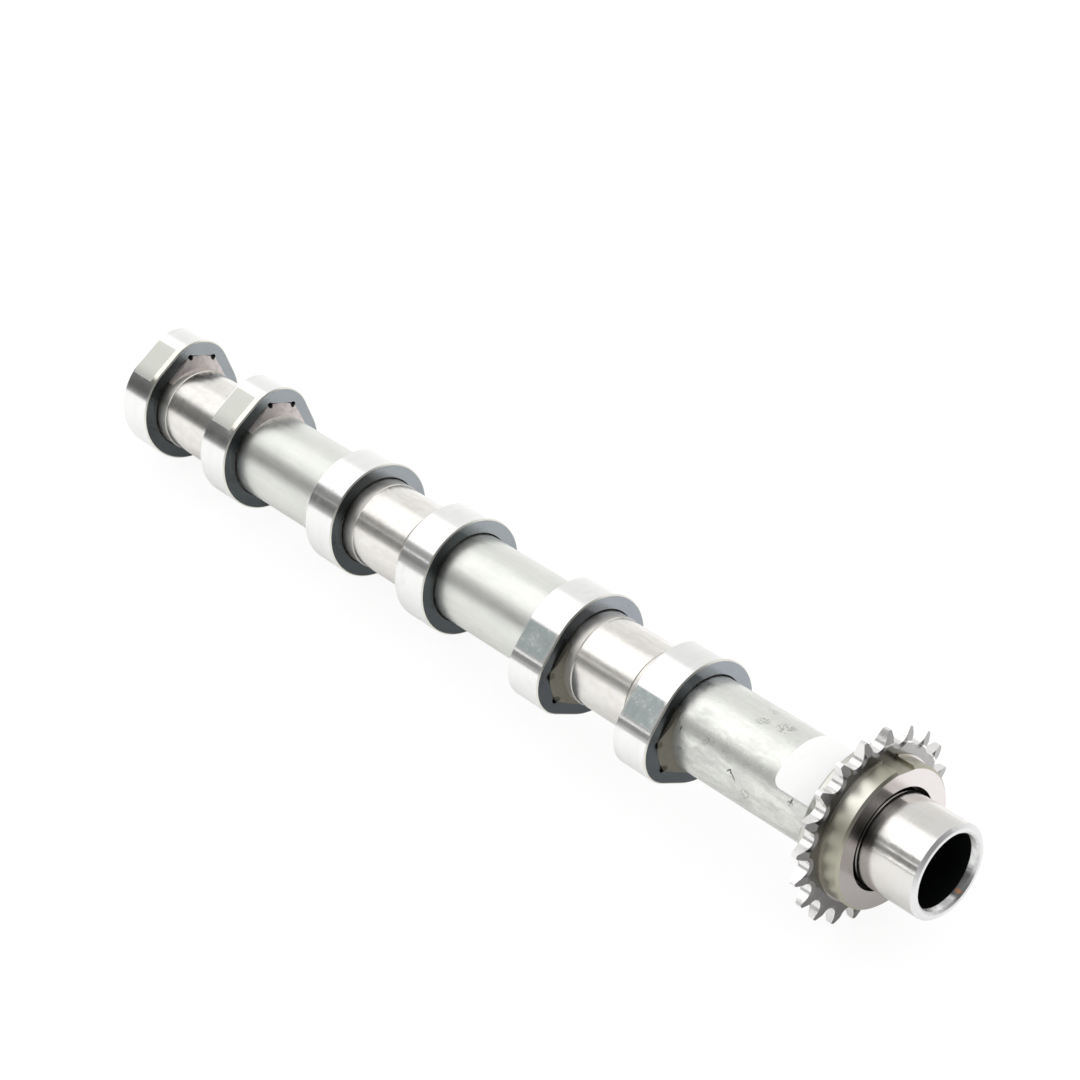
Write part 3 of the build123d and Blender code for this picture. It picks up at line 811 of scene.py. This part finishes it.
def table_paper(colour_value):
    """White table: plain paper to the light, a little brighter in mirrors, lifted to white for the
    camera with its shadow kept."""
    material, t, shader = new_material("table white paper")
    t.nodes.remove(shader)
    path = t.nodes.new("ShaderNodeLightPath").outputs

    def lit(paper, glow):
        """Matt paper that also glows a little."""
        matt = put(t, "ShaderNodeBsdfDiffuse", {"Color": rgba(paper)}).outputs[0]
        shine = put(t, "ShaderNodeEmission", {"Color": rgba((1.0, 1.0, 1.0)), "Strength": glow}).outputs[0]
        return put(t, "ShaderNodeAddShader", {0: matt, 1: shine}).outputs[0]

    plain = put(t, "ShaderNodeBsdfDiffuse", {"Color": rgba(colour_value)}).outputs[0]
    in_mirror = calc(t, "MAXIMUM", path["Is Glossy Ray"], path["Is Transmission Ray"])
    mixed = put(t, "ShaderNodeMixShader", {0: in_mirror, 1: plain,
                                           2: lit(colour_value, MIRROR_GLOW)}).outputs[0]
    mixed = put(t, "ShaderNodeMixShader", {0: path["Is Camera Ray"], 1: mixed,
                                           2: lit(DIM_PAPER, TABLE_GLOW)}).outputs[0]
    t.links.new(mixed, t.nodes["Material Output"].inputs[0])
    return material


def ramp_of(tree, value, steps, low=-1.0, high=1.0):
    """Level read from straight lines between (value, level) steps."""
    ramp = tree.nodes.new("ShaderNodeValToRGB")
    spots = ramp.color_ramp.elements
    top = max(level for _, level in steps)

    def grey(level):
        return rgba((level / top,) * 3)

    spots[0].position, spots[1].position = 0.0, 1.0
    spots[0].color, spots[1].color = grey(steps[0][1]), grey(steps[-1][1])
    for spot, level in steps[1:-1]:
        spots.new((spot - low) / (high - low)).color = grey(level)
    share = put(tree, "ShaderNodeMapRange", {0: value, 1: low, 2: high, 3: 0.0, 4: 1.0}).outputs[0]
    tree.links.new(share, ramp.inputs[0])
    return times(tree, ramp.outputs[0], top)


# Levels of the tent by the height of the direction, and of the soft box by its x.
RIGHT_LEVELS = [(-1.0, 1.0), (-0.05, 1.0), (0.1, 0.98), (0.35, 0.92), (0.6, 0.88), (1.0, 0.90)]
LEFT_LEVELS = [(-1.0, 1.0), (-0.11, 1.0), (-0.07, 0.58), (0.03, 0.58), (0.06, 0.44), (0.14, 0.44),
               (0.17, 0.26), (0.325, 0.26), (0.36, 0.36), (0.49, 0.42), (0.54, 0.90), (1.0, 0.92)]
BOX_LEVELS = [(-1.0, 1.0), (-0.76, 1.25), (-0.60, 1.6), (1.0, 1.65)]
OVERHEAD_LEVEL = 1.40
FRONT_LEVEL = 0.10
EVEN_LEVEL = 1.08


def tent_left(t, x, z):
    """Left side: a dark flag with a slit in it, a light line under it and haze down to the table."""
    flag = smooth_range(t, x, -0.66, -0.73, 1.0, 0.38)
    behind_flag = times(t, smooth_range(t, z, 0.02, 0.10), smooth_range(t, z, 0.54, 0.49))
    level = times(t, ramp_of(t, z, LEFT_LEVELS), blend(t, behind_flag, 1.0, flag))
    slit = times(t, smooth_range(t, away(t, z, 0.345), 0.010, 0.022, 1.3, 0.0),
                 smooth_range(t, x, -0.70, -0.66))
    line = times(t, smooth_range(t, away(t, z, 0.10), 0.02, 0.05, 1.2, 0.0),
                 smooth_range(t, x, -0.57, -0.52))
    return calc(t, "ADD", level, calc(t, "ADD", slit, line))


def soft_box(t, x, y, z):
    """Mask of the soft box over the left rear, with a wider edge seen from the rear half."""
    turn = calc(t, "DEGREES", calc(t, "ARCTAN2", times(t, y, -1.0), z))
    edge = calc(t, "ADD", turn, smooth_range(t, x, -0.52, -0.58, 0.0, 17.0))
    return times(t, smooth_range(t, edge, -10.0, 5.0), smooth_range(t, z, 0.50, 0.54),
                 smooth_range(t, turn, 60.0, 75.0, 1.0, 0.0), smooth_range(t, x, -0.2, -0.4))


def studio_world(strength):
    """White tent: even overhead and on the right, a soft box over the left rear, dark flags below it,
    dark room in front."""
    world = bpy.data.worlds.new("studio")
    bpy.context.scene.world = world
    world.use_nodes = True
    t = world.node_tree
    t.nodes.clear()
    direction = t.nodes.new("ShaderNodeTexCoord").outputs["Generated"]
    x, y, z = put(t, "ShaderNodeSeparateXYZ", {0: direction}).outputs

    right = times(t, ramp_of(t, z, RIGHT_LEVELS), smooth_range(t, x, -0.52, -0.72, 1.0, 1.12))
    on_left = smooth_range(t, y, -0.06, 0.0, 1.0, 0.0)
    level = blend(t, on_left, right, tent_left(t, x, z))
    level = blend(t, soft_box(t, x, y, z), level, ramp_of(t, x, BOX_LEVELS))
    overhead = times(t, smooth_range(t, x, -0.45, -0.30), smooth_range(t, z, 0.30, 0.50))
    level = blend(t, overhead, level, OVERHEAD_LEVEL)
    front = times(t, smooth_range(t, x, 0.15, 0.40), smooth_range(t, z, 0.95, 0.85),
                  smooth_range(t, y, 0.75, 0.55))
    level = blend(t, front, level, FRONT_LEVEL)

    # Mirrors see the shaped tent; matt surfaces are lit evenly; the camera sees white.
    path = t.nodes.new("ShaderNodeLightPath").outputs
    level = times(t, blend(t, path["Is Glossy Ray"], EVEN_LEVEL, level), strength)
    level = blend(t, path["Is Camera Ray"], level, 1.0)
    shade = put(t, "ShaderNodeBackground", {"Color": rgba((1.0, 1.0, 1.0)), "Strength": level})
    t.links.new(shade.outputs[0], t.nodes.new("ShaderNodeOutputWorld").inputs[0])


def studio_camera(lens):
    """Camera at its place, turned so that its sides run along the given right and up directions."""
    view = bpy.data.cameras.new("camera")
    view.sensor_width = 36.0
    view.lens = lens
    view.clip_start, view.clip_end = 0.01, 20.0
    camera = bpy.data.objects.new("camera", view)
    right, up = Vector(CAMERA_RIGHT), Vector(CAMERA_UP)
    turn = Matrix((right, up, right.cross(up))).transposed().to_4x4()
    camera.matrix_world = Matrix.Translation(CAMERA_PLACE) @ turn
    return camera


# --- operators -------------------------------------------------------------------------
class CAMSHAFT_OT_tube(bpy.types.Operator):
    """Finish the tube with its ground nose and journals"""
    bl_idname = "camshaft.tube"
    bl_label = "Finish Tube"

    def execute(self, context):
        dress("shaft_tube", tube_steel(context.scene.camshaft_tube))
        return {"FINISHED"}


class CAMSHAFT_OT_lobes(bpy.types.Operator):
    """Finish the six lobes"""
    bl_idname = "camshaft.lobes"
    bl_label = "Finish Lobes"

    def execute(self, context):
        steel = lobe_steel(context.scene.camshaft_lobes)
        for node in LOBES:
            dress(node, steel)
        return {"FINISHED"}


class CAMSHAFT_OT_drive(bpy.types.Operator):
    """Finish the sprocket and the thrust collar"""
    bl_idname = "camshaft.drive"
    bl_label = "Finish Sprocket and Collar"

    def execute(self, context):
        dress("sprocket", sprocket_steel(context.scene.camshaft_drive))
        dress("thrust_collar", collar_steel(context.scene.camshaft_drive))
        return {"FINISHED"}


class CAMSHAFT_OT_label(bpy.types.Operator):
    """Finish the bare label"""
    bl_idname = "camshaft.label"
    bl_label = "Finish Label"

    def execute(self, context):
        dress("label", label_paper(context.scene.camshaft_drive))
        return {"FINISHED"}


class CAMSHAFT_OT_stage(bpy.types.Operator):
    """Set the table, the lights and the camera"""
    bl_idname = "camshaft.stage"
    bl_label = "Set Stage"

    def execute(self, context):
        studio = context.scene.camshaft_studio
        scene = context.scene
        scene.view_settings.view_transform = "Standard"
        studio_world(studio.sky)

        table = bpy.data.objects.new("table", table_top())
        table.data.materials.append(table_paper(studio.floor))
        scene.collection.objects.link(table)

        camera = studio_camera(studio.lens)
        scene.collection.objects.link(camera)
        bpy.context.scene.camera = camera
        return {"FINISHED"}


class CAMSHAFT_PT_panel(bpy.types.Panel):
    """The camshaft's pieces and stage"""
    bl_idname = "CAMSHAFT_PT_panel"
    bl_label = "Camshaft"
    bl_space_type = "VIEW_3D"
    bl_region_type = "UI"
    bl_category = "Camshaft"

    def draw(self, context):
        for group, operators in (("camshaft_tube", ("camshaft.tube",)),
                                 ("camshaft_lobes", ("camshaft.lobes",)),
                                 ("camshaft_drive", ("camshaft.drive", "camshaft.label")),
                                 ("camshaft_studio", ("camshaft.stage",))):
            box = self.layout.box()
            settings = getattr(context.scene, group)
            for name in settings.__annotations__:
                box.prop(settings, name)
            for operator in operators:
                box.operator(operator)


GROUPS = {"camshaft_tube": TubeFinish, "camshaft_lobes": LobeFinish, "camshaft_drive": DriveFinish,
          "camshaft_studio": StudioSettings}
CLASSES = list(GROUPS.values()) + [CAMSHAFT_OT_tube, CAMSHAFT_OT_lobes, CAMSHAFT_OT_drive,
                                   CAMSHAFT_OT_label, CAMSHAFT_OT_stage, CAMSHAFT_PT_panel]


def register():
    for item in CLASSES:
        bpy.utils.register_class(item)
    for name, kind in GROUPS.items():
        setattr(bpy.types.Scene, name, PointerProperty(type=kind))


def unregister():
    for name in GROUPS:
        delattr(bpy.types.Scene, name)
    for item in reversed(CLASSES):
        bpy.utils.unregister_class(item)


def main():
    register()
    bpy.ops.camshaft.tube()
    bpy.ops.camshaft.lobes()
    bpy.ops.camshaft.drive()
    bpy.ops.camshaft.label()
    bpy.ops.camshaft.stage()


if __name__ == "__main__":
    main()
